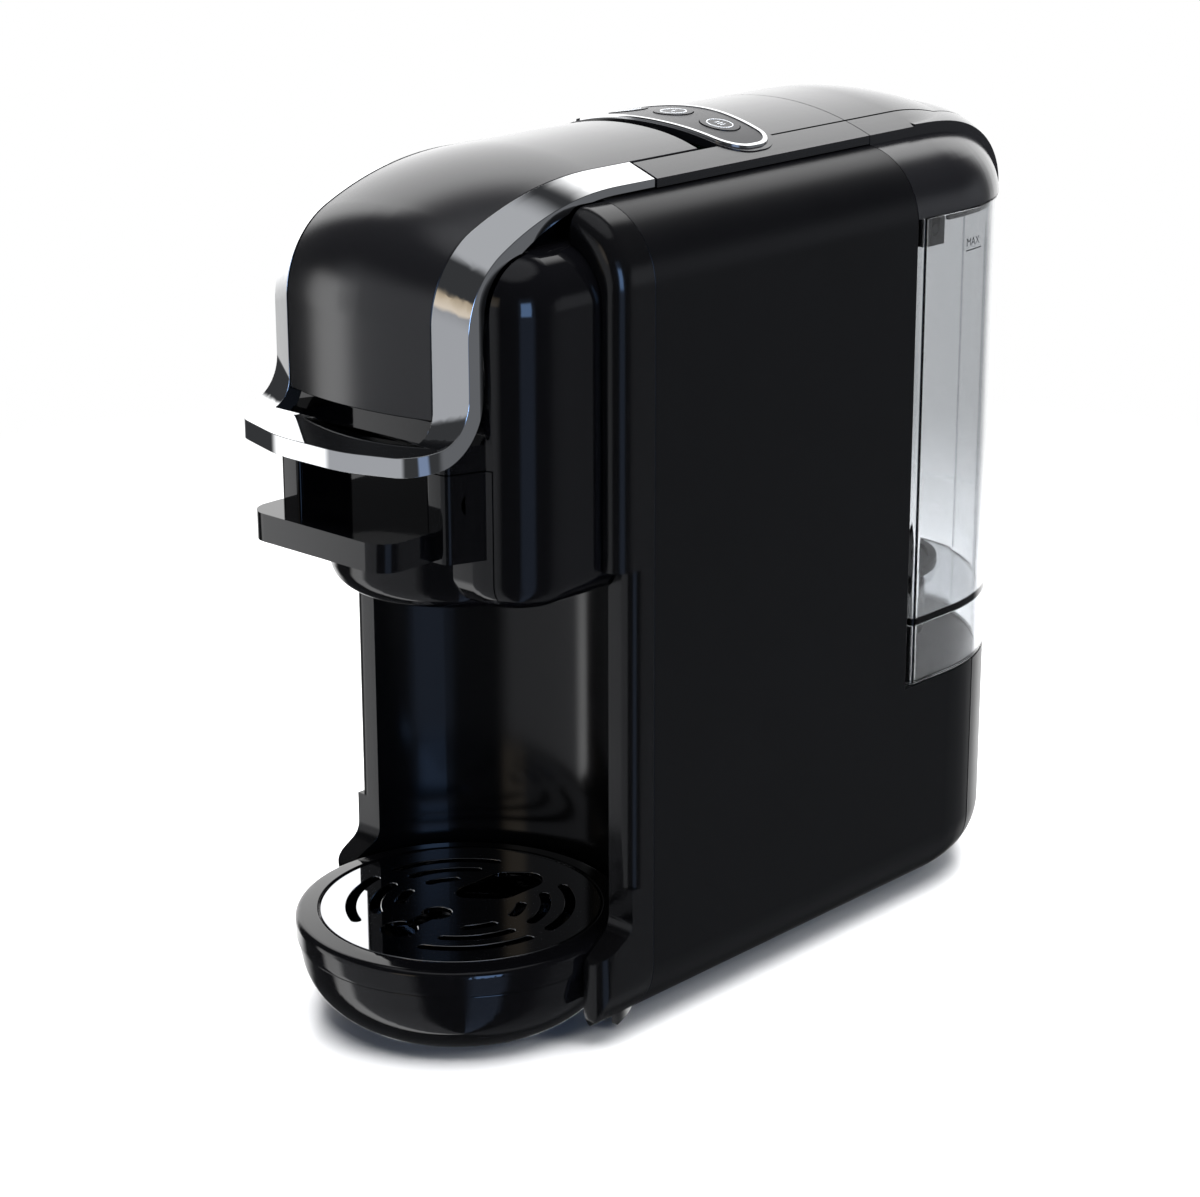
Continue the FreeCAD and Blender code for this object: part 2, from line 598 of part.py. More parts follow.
grate = grate.cut(leaf_hole).cut(key_hole)
save("drip_grate", grate)


# ---------------------------------------------------------------- lever: handle, cover, frame
def strap_wire(edge_x, top, arc_y, arc_z, arc_r, foot_r, foot_z, thin, thick):
    return strap_outline(top, arc_y, arc_z, arc_r, foot_r, foot_z, bar_slope, front_y - 2, thin, thick,
                         edge_x)


inner_edge = (strip_half + 0.3, 276.6, front_y + 51.5, 238.0, 30.0, 9.0, 213.7, 2.6, bar_thick)
outer_edge = (rail_half, 272.6, front_y + outer_arc, outer_arc_z, outer_arc_r, outer_foot_r, outer_foot_z,
              2.6,
              bar_thick)
strap = Part.makeLoft([strap_wire(*inner_edge), strap_wire(*outer_edge)], True, True)
bar_wire = strap_wire(*((-inner_edge[0],) + inner_edge[1:]))
bar = Part.Face(bar_wire).extrude(V(2 * inner_edge[0], 0, 0))
window_y = front_y + bar_deep
bar = bar.common(block(-half, half, front_y - 5, window_y, 150, 215))
nose_bulge = 6.5
bar_plan = slab_z([(-rail_half, strap_end_y + 1, 0), (-rail_half, front_y + nose_bulge, 14),
                   (-14, front_y, 60), (14, front_y, 60), (rail_half, front_y + nose_bulge, 14),
                   (rail_half, strap_end_y + 1, 0)], 150, height + 9)
handle = fuse(strap, mirrored(strap), bar).common(bar_plan)
save("handle", handle)

cover_half = strip_half
cover_arc_y = front_y + 51.5
cover_arc_z = 238.0
cover_r = 34.4
lip_z = 210.5


def cover_path(top, r):
    a = strap_flat_y - cover_arc_y
    b = top - cover_arc_z
    long_r = (a * a + b * b - r * r) / (2 * (b - r))
    cz = top - long_r
    towards = V(0, cover_arc_y - strap_flat_y, cover_arc_z - cz).normalize()
    join = V(0, strap_flat_y, cz) + towards * long_r
    turn = math.atan2(strap_flat_y - join.y, join.z - cz)
    mid1 = V(0, strap_flat_y - long_r * math.sin(turn / 2), cz + long_r * math.cos(turn / 2))
    half_turn = (turn + math.pi / 2) / 2
    mid2 = V(0, cover_arc_y - r * math.sin(half_turn), cover_arc_z + r * math.cos(half_turn))
    corner = V(0, cover_arc_y - r, cover_arc_z)
    start = V(0, pivot_y + 20, top)
    return Part.Wire([Part.LineSegment(start, V(0, strap_flat_y, top)).toShape(),
                      Part.Arc(V(0, strap_flat_y, top), mid1, join).toShape(),
                      Part.Arc(join, mid2, corner).toShape(),
                      Part.LineSegment(corner, V(0, corner.y, lip_z)).toShape()])


def crown_section(y, side, thick):
    drop = crown_r - math.sqrt(crown_r ** 2 - side ** 2)
    top = [V(-side, y, height - drop), V(0, y, height), V(side, y, height - drop)]
    low = [p - V(0, 0, thick) for p in top]
    return Part.Wire([Part.Arc(*top).toShape(), Part.LineSegment(top[2], low[2]).toShape(),
                      Part.Arc(low[2], low[1], low[0]).toShape(),
                      Part.LineSegment(low[0], top[0]).toShape()])


def panel_outline(grow, shift=0.0):
    """The control panel's long oval, made wider all round by grow."""
    end = panel_half + grow
    wide = panel_wide / 2 + grow
    y = panel_y + shift
    return [(-end, y - wide + 3, wide - 3.2), (0, y - wide - panel_bulge / 2, 90),
            (end, y - wide + 3, wide - 3.2),
            (end, y + wide - 3, wide - 3.2), (0, y + wide + panel_bulge / 2, 90),
            (-end, y + wide - 3, wide - 3.2)]


lever_skin = cover_path(height, cover_r).makePipeShell([crown_section(pivot_y + 20, cover_half, wall)],
                                                       True, False)
rim_border = 3.0
undercut = 16.0           # the slanted parting face runs this far down and forward
parting = Part.Face(rounded_wire(panel_outline(rim_border + move_gap), lambda p: V(p.x, p.y, height + 3)))
parting = parting.extrude(V(0, -undercut, -undercut))
behind = block(-half, half, panel_y, 60, 200, height + 9)
lever_cover = lever_skin.cut(parting).cut(behind)
lever_cover = max(lever_cover.Solids, key=lambda s: s.Volume)
save("lever_cover", lever_cover)

# The lever frame: a plate under the cover with two cranked arms down and back to the axle.
frame_plate_y0 = cup_y - 14
frame_plate_y1 = pivot_y - 34
plate_top = 267.6
plate = block(-26, 26, frame_plate_y0 + 8, frame_plate_y1, plate_top - 2.4, plate_top)
arm_outline = [(frame_plate_y0 + 8, plate_top - 1, 0), (frame_plate_y1, plate_top - 1, 0),
               (frame_plate_y1, 262.0, 4), (pivot_y - 16, 255.0, 6), (pivot_y - 3, pivot_z + 1, 2),
               (pivot_y + 3, pivot_z - 3, 2), (pivot_y - 12, 247.5, 8), (frame_plate_y1 - 6, 254, 0),
               (frame_plate_y0 + 8, 254, 0)]
arm = slab_x(arm_outline, lever_arm_x, lever_arm_x + lever_arm_thick)
hub = rod_x(lever_arm_x, lever_arm_x + lever_arm_thick, pivot_y, pivot_z, axle_r + 2.6)
arm = fuse(arm, hub)
presser = disc(0, cup_y, 257.0, plate_top - 1, 9)
presser_web = block(-lever_arm_x - 1, lever_arm_x + 1, cup_y - 1.5, cup_y + 1.5, 260, plate_top - 1)
lever_frame = fuse(plate, arm, mirrored(arm), presser, presser_web)
lever_frame = lever_frame.cut(rod_x(-50, 50, pivot_y, pivot_z, axle_r + axle_clear))
boss_x = 15.0
screws = []
for y, boss_top in ((strap_flat_y + 6, 276.4), (cup_y + 8, 273.2)):
    for sx in (-1, 1):
        lever_frame = lever_frame.fuse(disc(sx * boss_x, y, plate_top - 0.1, boss_top, 3.4))
        lever_frame = lever_frame.cut(disc(sx * boss_x, y, plate_top - 9, boss_top - 1, 1.2))
        screws.append(fuse(disc(sx * boss_x, y, plate_top - 4.0, plate_top - 2.4, 2.6),
                           disc(sx * boss_x, y, plate_top - 2.5, boss_top - 1.2, 1.2)))
lever_frame = lever_frame.removeSplitter()
save("lever_frame", lever_frame)
save("lever_screws", Part.Compound(screws))

# ---------------------------------------------------------------- top cover and control panel
cover_front = strap_end_y + move_gap
groove_lines = both_sides(block(strip_half, strip_half + groove, front_y, rear_y + 1, 200, height + 5))
band = crown(cover_front, cover_end_y, 0, shoulder_z + 0.2, rail_half)
band_in = crown(cover_front - 1, cover_end_y + 1, -wall, shoulder_z - 20, rail_half - 6.6)
top_cover = band.cut(band_in)
strip_gap = block(-strip_half - 0.9, strip_half + 0.9, cover_front - 5, panel_y, 240, height + 5)
border = slab_z(panel_outline(rim_border), 240, height + 5)
top_cover = top_cover.cut(strip_gap.cut(border))
border_ring = crown(panel_y - 30, panel_y + 30, 0.4, 262, rail_half - 1).cut(
    crown(panel_y - 31, panel_y + 31, -wall, 240, rail_half - 0.5)).common(border)
top_cover = fuse(top_cover, border_ring)
leg = block(strip_half + 2.4, strip_half + 4.4, cover_front + 2, cover_end_y - 4, 262, 275)
top_cover = fuse(top_cover, leg, mirrored(leg))
panel_hole = slab_z(panel_outline(trim_wide + 0.1), 240, height + 5)
top_cover = top_cover.cut(panel_hole)
ledge = slab_z(panel_outline(trim_wide + 0.1), 240, height + 5).cut(slab_z(panel_outline(-2.0), 240,
        height + 5))
ledge = ledge.common(crown(panel_y - 30, panel_y + 30, -1.3, 240,
                           60).cut(crown(panel_y - 31, panel_y + 31, -wall, 230, 61)))
top_cover = fuse(top_cover, ledge)
skin = crown(panel_y + 14, cover_end_y + 1, 1, 240, 60).cut(crown(panel_y, cover_end_y + 2, -groove, 230,
                                                                  61))
top_cover = top_cover.cut(skin.common(groove_lines))
top_cover = max(top_cover.Solids, key=lambda s: s.Volume)
save("top_cover", top_cover)

panel_face = crown(panel_y - 30, panel_y + 30, 0.9, 240, 60).cut(crown(panel_y - 31, panel_y + 31, -1.2,
        230, 61))
panel = panel_face.common(slab_z(panel_outline(0), 240, height + 5))
trim_face = crown(panel_y - 30, panel_y + 30, 1.2, 240, 60).cut(crown(panel_y - 31, panel_y + 31, -1.2,
                                                                      230, 61))
trim = trim_face.common(slab_z(panel_outline(trim_wide), 240, height + 5).cut(
    slab_z(panel_outline(0.05), 240, height + 5)))
button_y = panel_y + 2.0
button_spots = {"button_cold": -button_pitch, "button_power": 0.0, "button_hot": button_pitch}
for x in button_spots.values():
    panel = panel.cut(disc(x, button_y, 240, height + 5, button_r + 0.3))
save("control_panel", panel)
save("control_panel_trim", max(trim.Solids, key=lambda s: s.Volume))
for name, x in button_spots.items():
    cap = crown(panel_y - 30, panel_y + 30, 1.2, 240, 60).common(disc(x, button_y, height - 4.2,
                                                                      height + 5, button_r))
    stem = disc(x, button_y, height - 6.4, height - 4.1, 2.0)
    save(name, fuse(cap, stem))
board_z = height - 10.0
board = block(-31, 31, panel_y - 1, panel_y + 15.5, board_z, board_z + 1.4)
switches = [block(x - 3, x + 3, button_y - 3, button_y + 3, board_z + 1.4, board_z + 2.4)
            for x in button_spots.values()]
save("button_board", fuse(board, *switches))

# ---------------------------------------------------------------- chassis, axle, brew parts
cheek_x = 30.0
chassis_side = slab_x([(-30, 6, 0), (56, 6, 0), (56, 240, 10), (pivot_y + 12, pivot_z + 4, 4),
                       (pivot_y - 8, pivot_z + 4, 4), (pivot_y - 16, 240, 8), (seam_y + 4, 240, 0),
                       (seam_y + 4, 162, 0), (-30, 162, 0)], cheek_x, cheek_x + wall)
chassis_side = chassis_side.cut(rod_x(0, 60, pivot_y, pivot_z, axle_r))
shelf = block(-cheek_x - 0.5, cheek_x + 0.5, -30, 56, 128, 128 + wall)
beam = block(-cheek_x - 0.5, cheek_x + 0.5, seam_y + 4, 20, 238, 240)
chassis = fuse(chassis_side, mirrored(chassis_side), shelf, beam)
chassis = chassis.cut(disc(-14, -16, 120, 135, 4.0))
save("inner_chassis", chassis)
save("lever_axle", rod_x(-cheek_x - wall, cheek_x + wall, pivot_y, pivot_z, axle_r))

piston_low = drawer_top + 0.8
guide_front = block(-half, half, front_y, recess_y + 4.4, 0, height)   # the guide is flat behind the brow
guide = ring(0, cup_y, drawer_top + joint_gap + 1.0, 238.0, piston_r + 3.8, piston_r + 0.3)
guide_flange = ring(0, cup_y, 234.0, 238.0, guide_flange_r, piston_r + 0.3)
save("brew_guide", fuse(guide, guide_flange).cut(guide_front))
piston = disc(0, cup_y, piston_low + 2.4, 225.4, piston_r)
piston = piston.cut(disc(0, cup_y, 214.0, 227.0, piston_r - 3.0))
stem = disc(0, cup_y, 213.9, 256.4, 5.0)
cap = disc(0, cup_y, 252.6, 256.6, 10.5)
gasket_groove = ring(0, cup_y, 205.0, 207.4, piston_r + 1, piston_r - 1.8)
piston = fuse(piston, stem, cap).cut(gasket_groove)
save("brew_piston", piston)
save("piston_gasket", ring(0, cup_y, 205.05, 207.35, piston_r + 0.15, piston_r - 1.75))
needle_plate = disc(0, cup_y, piston_low, piston_low + 2.4, piston_r - 1.5)
needle = fuse(disc(0, cup_y, drawer_top - 3.0, piston_low + 0.1, needle_r),
              Part.makeCone(0.2, needle_r, 2.0, V(0, cup_y, drawer_top - 5.0)))
save("needle_plate", fuse(needle_plate, needle))


def coil(x, y, z0, z1, r, wire_r, turns):
    """A spring drawn as a stack of rings joined by a thin sleeve, so that it stays one simple solid."""
    pitch = (z1 - z0 - 2 * wire_r) / turns
    sleeve = ring(x, y, z0, z1, r + 0.25, r - 0.25)
    rings = [Part.makeTorus(r, wire_r, V(x, y, z0 + wire_r + i * pitch)) for i in range(turns + 1)]
    return sleeve.multiFuse(rings)


save("piston_spring", coil(0, cup_y, 240.2, 252.4, 7.6, 0.7, 4))
spring_plate = ring(0, cup_y, 238.1, 240.1, piston_r + 6.0, 6.0)
save("guide_cap", spring_plate.cut(guide_front))

# ---------------------------------------------------------------- pump, boiler, electrics
pump_y = 20.0
pump_z = 60.0
pump_body = fuse(rod_y(0, pump_y - 34, pump_y + 30, pump_z, 11.0),
                 rod_y(0, pump_y + 29, pump_y + 38, pump_z, 4.0))
save("pump_body", pump_body)
coil_block = block(-20, 20, pump_y - 18, pump_y + 20, pump_z - 19, pump_z + 19)
save("pump_coil", coil_block.cut(rod_y(0, pump_y - 40, pump_y + 40, pump_z, 11.0)))
mounts = []
for y in (pump_y - 28, pump_y + 25):
    mounts.append(block(-14, 14, y - 4, y + 4, 5.0, pump_z).cut(rod_y(0, y - 5, y + 5, pump_z, 11.0)))
save("pump_mounts", Part.Compound(mounts))
save("pump_outlet", fuse(rod_y(0, pump_y - 44, pump_y - 34, pump_z, 6.0),
                         disc(0, pump_y - 40, pump_z + 3, pump_z + 16, 3.0)))
boiler = block(-24, 24, -24, 40, 136, 166)
boiler = boiler.makeFillet(4, [e for e in boiler.Edges if abs(e.Vertexes[0].Z - e.Vertexes[-1].Z) > 20])
boiler_stubs = [disc(-14, -16, 122, 137, 3.0), disc(14, -16, 165, 182, 3.0)]
save("thermoblock", fuse(boiler, *boiler_stubs))
save("boiler_bracket", fuse(block(-26.5, 26.5, 0, 14, 130.4, 135.9), block(-26.5, -24.1, 0, 14, 131, 168),
                            block(24.1, 26.5, 0, 14, 131, 168)))
save("thermostats", Part.Compound([fuse(disc(0, y, 166.05, 170, 8), disc(0, y, 170, 173, 5))
                                   for y in (-6, 24)]))
save("control_board", fuse(block(-28, 28, 52, 53.6, 150, 232), block(-20, -4, 42, 52.1, 170, 192),
                           block(4, 20, 38, 52.1, 196, 222)))
save("board_bracket", Part.Compound([block(x - 2, x + 2, 53.7, 58.9, z - 4, z + 4)
                                     for x in (-24, 24) for z in (156, 226)]))
flow_meter = fuse(rod_y(0, 74, 88, 34, 13), rod_y(0, 66, 75, 34, 3.0), disc(0, 81, 45, 56, 3.0))
save("flow_meter", flow_meter)
save("micro_switch", block(24, 29.8, -30, -16, 228, 237.8))


def hose(points, radius, bend):
    """A hose of straight runs joined by tangent bends."""
    edges = []
    here = points[0]
    for before, corner, after in zip(points, points[1:], points[2:]):
        back = (before - corner).normalize()
        ahead = (after - corner).normalize()
        half_angle = back.getAngle(ahead) / 2
        reach = bend / math.tan(half_angle)
        start, end = corner + back * reach, corner + ahead * reach
        middle = corner + (back + ahead).normalize() * (bend / math.sin(half_angle) - bend)
        edges += [Part.LineSegment(here, start).toShape(), Part.Arc(start, middle, end).toShape()]
        here = end
    edges.append(Part.LineSegment(here, points[-1]).toShape())
    path = Part.Wire(edges)
    start_dir = (points[1] - points[0]).normalize()
    section = Part.Wire([Part.makeCircle(radius, points[0], start_dir)])
    return path.makePipeShell([section], True, True)


hose_r = 4.2
save("hose_tank", hose([V(0, outlet_y, seat_top - 8.1), V(0, outlet_y, 66), V(0, 81, 66), V(0, 81, 56.1)],
                       hose_r, 7.0))
save("hose_pump", hose([V(0, 65.9, 34), V(0, 62.0, 34), V(0, 62.0, 60), V(0, pump_y + 38.1, 60)], 2.8, 2.9))
save("hose_boiler", hose([V(0, pump_y - 40, pump_z + 16.1), V(0, pump_y - 40, 100),
                          V(-14, pump_y - 36, 108),
                          V(-14, -16, 121.9)], hose_r, 5.0))
save("hose_head", hose([V(14, -16, 182.1), V(14, -16, 214), V(14, -50, 214), V(8, -67.0, 214)], hose_r,
                       8.0))

# ---------------------------------------------------------------- water tank and lid
tank_side = half - 0.1


def tank_form(inset, z0, z1):
    side = tank_side - inset
    r = max(tank_round - inset, 0.6)
    return slab_z([(-side, tank_front_y + inset, r), (side, tank_front_y + inset, r),
                   (side, turn_y + side, side - 0.001), (-side, turn_y + side, side - 0.001)], z0, z1)


tank = tank_form(0, tank_low, tank_top).cut(tank_form(tank_wall, tank_floor + tank_wall, tank_top + 1))
tank = tank.cut(tank_form(tank_wall, tank_low - 1, tank_floor))
tank = tank.cut(disc(0, outlet_y, tank_floor - 5, tank_floor + 5, outlet_r - 1.5))
save("water_tank", tank)
spigot = revolve_z([(outlet_r - 3.0, tank_floor - 16, 0), (outlet_r, tank_floor - 16, 1),
                    (outlet_r, tank_floor - 0.1, 0),
                    (outlet_r - 1.7, tank_floor - 0.1, 0), (outlet_r - 1.7, tank_floor + tank_wall + 4, 0),
                    (outlet_r - 3.0, tank_floor + tank_wall + 4, 0)], 0, outlet_y)
valve_seat = ring(0, outlet_y, tank_floor - 16, tank_floor - 13.6, outlet_r - 2.9, 2.4)
spigot = fuse(spigot, valve_seat)
save("tank_outlet", spigot)
plunger = fuse(disc(0, outlet_y, tank_floor - 13.4, tank_floor - 11.4, 3.9),
               disc(0, outlet_y, push_pin_top + 0.2, tank_floor - 13.3, 1.6),
               disc(0, outlet_y, tank_floor - 11.5, tank_floor - 2.0, 1.2))
save("valve_plunger", plunger)
save("valve_spring", coil(0, outlet_y, tank_floor - 11.2, tank_floor + 3.9, 2.6, 0.4, 6))
stop_ring = ring(0, outlet_y, tank_floor + 4.0, tank_floor + tank_wall + 4, outlet_r - 3.1, 1.7)
save("valve_stop", stop_ring)
filter_ring = ring(0, outlet_y, tank_floor + tank_wall + 0.1, tank_floor + tank_wall + 3.4, 34.0, 31.0)
filter_disc = ring(0, outlet_y, tank_floor + tank_wall + 0.1, tank_floor + tank_wall + 1.6, 31.5, outlet_r)
save("tank_filter", fuse(filter_ring, filter_disc))
lug = block(tank_side - tank_wall - 4.0, tank_side - tank_wall - 0.1, lid_hinge_y - 5.0, lid_hinge_y + 5,
            lid_hinge_z - 5.5, tank_top)
lug = lug.cut(rod_x(0, half, lid_hinge_y, lid_hinge_z, lid_pin_r + 0.3))
lug = lug.cut(block(0, half, lid_hinge_y - lid_pin_r - 0.3, lid_hinge_y + lid_pin_r + 0.3, lid_hinge_z,
                    tank_top + 1))
save("tank_lugs", both_sides(lug))


def band_profile(inset):
    """Half outline of the band over the round rear: the crown, then a quarter round down to the rim."""
    edge = 40.0
    top = height - inset
    crown_z = top - crown_r + math.sqrt(crown_r ** 2 - edge ** 2)
    crown_mid = top - crown_r + math.sqrt(crown_r ** 2 - (edge / 2) ** 2)
    rim = half + lid_overhang - inset
    round_z = 246.3
    diagonal = math.sqrt(0.5)
    mid = V(edge - 1.7 + (rim - edge + 1.7) * diagonal, turn_y, round_z + (crown_z - round_z) * diagonal)
    points = [V(0, turn_y, top), V(edge / 2, turn_y, crown_mid), V(edge, turn_y, crown_z),
              V(rim, turn_y, round_z)]
    low = [V(rim, turn_y, 200), V(0, turn_y, 200), V(0, turn_y, top)]
    edges = [Part.Arc(*points[:3]).toShape(), Part.Arc(points[2], mid, points[3]).toShape()]
    return Part.Face(Part.Wire(edges + Part.makePolygon([points[3]] + low).Edges))


def lid_form(inset):
    side = rail_half - inset
    straight = crown(lid_front_y + inset, turn_y, -inset, 200, side)
    rear = band_profile(inset).revolve(V(0, turn_y, 0), V(0, 0, 1), 180)
    rear = rear.common(block(-side, side, turn_y, rear_y + 1, 200, height + 1))
    return fuse(body_solid(inset, lid_front_y + inset), straight, rear)


lid_outer = lid_form(0).common(block(-half - 1, half + 1, lid_front_y, rear_y + 1, lid_low, height + 1))
lid_inner = lid_form(wall)
lid = lid_outer.cut(lid_inner)
lid = lid.cut(lid_outer.cut(lid_form(groove)).common(groove_lines))
lid = max(lid.Solids, key=lambda s: s.Volume)
skirt = tank_form(tank_wall + 0.5, lid_low - 3.0, lid_low + 2.0).cut(tank_form(tank_wall + 2.1,
        lid_low - 4, lid_low + 3))
skirt = skirt.common(block(-half, half, lid_hinge_y + 8, rear_y, 0, height))
skirt_top = tank_form(wall - 0.6, lid_low, lid_low + 2.0).cut(tank_form(tank_wall + 2.1, lid_low - 1,
        lid_low + 3))
skirt_top = skirt_top.common(block(-half, half, lid_hinge_y + 8, rear_y, 0, height))
lid = fuse(lid, skirt, skirt_top)
save("tank_lid", lid)
hook_x = tank_side - tank_wall - 4.6
hook = block(hook_x - 2.4, hook_x, lid_hinge_y - 3, lid_hinge_y + 3, lid_hinge_z - 3, lid_low + 4.0)
hook_pin = rod_x(hook_x - 0.5, tank_side - tank_wall - 0.4, lid_hinge_y, lid_hinge_z, lid_pin_r)
hook_bridge = block(hook_x - 2.4, half - wall + 0.4, lid_hinge_y - 3, lid_hinge_y + 3, lid_low + 1.0,
                    lid_low + 4.0)
save("lid_hooks", both_sides(fuse(hook, hook_pin, hook_bridge).cut(shell)))
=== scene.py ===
import json
import math

import bmesh
import bpy
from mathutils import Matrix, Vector

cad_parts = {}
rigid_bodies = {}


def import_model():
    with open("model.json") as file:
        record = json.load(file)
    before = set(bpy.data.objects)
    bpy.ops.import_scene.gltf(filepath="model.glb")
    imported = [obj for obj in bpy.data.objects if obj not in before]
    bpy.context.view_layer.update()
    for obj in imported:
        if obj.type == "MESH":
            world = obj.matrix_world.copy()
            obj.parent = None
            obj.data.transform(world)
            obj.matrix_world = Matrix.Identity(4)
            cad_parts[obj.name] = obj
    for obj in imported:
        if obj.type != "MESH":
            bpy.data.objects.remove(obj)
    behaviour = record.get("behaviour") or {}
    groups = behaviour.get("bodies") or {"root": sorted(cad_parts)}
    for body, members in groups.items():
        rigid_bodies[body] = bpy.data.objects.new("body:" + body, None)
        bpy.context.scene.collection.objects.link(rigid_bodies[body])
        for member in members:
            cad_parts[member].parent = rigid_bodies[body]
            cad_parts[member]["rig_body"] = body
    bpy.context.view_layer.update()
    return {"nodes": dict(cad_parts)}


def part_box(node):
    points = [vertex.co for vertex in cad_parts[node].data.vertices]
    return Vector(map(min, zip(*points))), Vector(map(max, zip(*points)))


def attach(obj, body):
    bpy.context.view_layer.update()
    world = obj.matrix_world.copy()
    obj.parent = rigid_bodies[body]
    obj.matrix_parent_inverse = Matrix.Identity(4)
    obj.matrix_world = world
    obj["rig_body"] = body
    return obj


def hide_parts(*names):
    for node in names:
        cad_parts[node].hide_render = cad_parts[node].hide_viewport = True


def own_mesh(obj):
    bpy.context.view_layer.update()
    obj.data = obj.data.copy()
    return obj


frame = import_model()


# ------------------------------------------------------------------ studio
# A pale acrylic sheet under a wide overhead softbox, in a room that looks plain white. What the
# machine mirrors is darker: a white sweep behind it and narrow cool strips at its sides, so that
# the black gloss shows soft upright streaks.
def linear(hex_colour):
    """An sRGB hex colour as the linear values that a shader takes."""
    channels = [int(hex_colour[i:i + 2], 16) / 255 for i in (1, 3, 5)]
    return tuple(c / 12.92 if c <= 0.04045 else ((c + 0.055) / 1.055) ** 2.4
                 for c in channels) + (1.0,)


def add(tree, kind, inputs=None, **settings):
    """Adds a node with its settings; an input takes a value or another node's output."""
    node = tree.nodes.new(kind)
    for name, value in settings.items():
        setattr(node, name, value)
    for socket, value in (inputs or {}).items():
        if isinstance(value, bpy.types.NodeSocket):
            tree.links.new(value, node.inputs[socket])
        else:
            node.inputs[socket].default_value = value
    return node


lens = bpy.data.cameras.new("camera")
lens.sensor_width = 36.0
lens.lens = 92.95
lens.shift_x = -0.02165
lens.shift_y = -0.00617
lens.clip_start = 0.01
camera = bpy.data.objects.new("camera", lens)
camera.location = (0.6696, -0.7501, 0.4458)
camera.rotation_euler = (math.radians(90 - 17.975), 0.0, math.radians(42.18))
bpy.context.scene.collection.objects.link(camera)
bpy.context.scene.camera = camera
bpy.context.scene.view_settings.view_transform = "Standard"

world = bpy.data.worlds.new("studio")
world.use_nodes = True
bpy.context.scene.world = world
room = world.node_tree
room.nodes.clear()
towards = add(room, "ShaderNodeTexCoord").outputs["Generated"]
split = add(room, "ShaderNodeSeparateXYZ", {"Vector": towards})
heading = add(room, "ShaderNodeMath", {0: split.outputs["Y"], 1: split.outputs["X"]},
              operation="ARCTAN2").outputs[0]
room_colour = linear("#3c3d3f")[:3]
room_strength = 0.9
# each light shape: centre heading, half width and softness in degrees, lowest and highest upward
# part of the direction, its softness, colour, strength
light_shapes = (
    (132, 40, 16, -0.55, 0.66, 0.16, "#ffffff", 1.7),
    (-27, 9, 3, -0.14, 0.28, 0.10, "#8fb8f2", 5.0),
    (-27, 13, 10, -1.2, 0.30, 0.25, "#7f93b5", 0.8),
    (-112, 34, 14, -1.2, 0.24, 0.30, "#cfd1d6", 0.6),
    (-146, 9, 8, -1.2, 0.10, 0.20, "#ffffff", 1.5),
    (52, 24, 18, -0.14, 0.16, 0.14, "#b9bcc2", 0.35),
    (52, 34, 24, -1.2, 0.10, 0.14, "#b9bcc2", 0.20),
    (-84, 8, 6, 0.16, 0.42, 0.10, "#c2ad8c", 0.9),
    (0, 400, 1, 0.84, 2.0, 0.10, "#e4e6ea", 0.55),
)
light = None
for centre, half_width, soft, low, high, rise, colour, strength in light_shapes:
    turned = add(room, "ShaderNodeMath", {0: heading, 1: math.radians(centre)},
                 operation="SUBTRACT").outputs[0]
    round_on = add(room, "ShaderNodeMath", {0: turned, 1: -math.pi, 2: math.pi},
                   operation="WRAP").outputs[0]
    aside = add(room, "ShaderNodeMath", {0: round_on}, operation="ABSOLUTE").outputs[0]
    across = add(room, "ShaderNodeMapRange",
                 {"Value": aside, "From Min": math.radians(half_width - soft / 2),
                  "From Max": math.radians(half_width + soft / 2), "To Min": 1.0, "To Max": 0.0},
                 interpolation_type="SMOOTHSTEP").outputs[0]
    above = add(room, "ShaderNodeMapRange",
                {"Value": split.outputs["Z"], "From Min": low, "From Max": low + rise},
                interpolation_type="SMOOTHSTEP").outputs[0]
    below = add(room, "ShaderNodeMapRange",
                {"Value": split.outputs["Z"], "From Min": high, "From Max": high + rise,
                 "To Min": 1.0, "To Max": 0.0}, interpolation_type="SMOOTHSTEP").outputs[0]
    upright = add(room, "ShaderNodeMath", {0: above, 1: below}, operation="MULTIPLY").outputs[0]
    shape = add(room, "ShaderNodeMath", {0: across, 1: upright}, operation="MULTIPLY").outputs[0]
    scaled = add(room, "ShaderNodeMath", {0: shape, 1: strength}, operation="MULTIPLY").outputs[0]
    tinted = add(room, "ShaderNodeVectorMath", {0: linear(colour)[:3], "Scale": scaled},
                 operation="SCALE").outputs[0]
    light = tinted if light is None else add(
        room, "ShaderNodeVectorMath", {0: light, 1: tinted}, operation="ADD").outputs[0]
glow = add(room, "ShaderNodeVectorMath", {0: light, 1: [c * room_strength for c in room_colour]},
           operation="ADD").outputs[0]
# the camera and the clear tank see plain white, the reflections and the light see the shapes
paths = add(room, "ShaderNodeLightPath")
seen = add(room, "ShaderNodeMath",
           {0: paths.outputs["Is Camera Ray"], 1: paths.outputs["Is Transmission Ray"]},
           operation="MAXIMUM").outputs[0]
lit = add(room, "ShaderNodeBackground", {"Color": glow, "Strength": 1.0}).outputs[0]
plain = add(room, "ShaderNodeBackground",
            {"Color": (1.0, 1.0, 1.0, 1.0), "Strength": 1.0}).outputs[0]
both = add(room, "ShaderNodeMixShader", {"Fac": seen, 1: lit, 2: plain}).outputs[0]
add(room, "ShaderNodeOutputWorld", {"Surface": both})

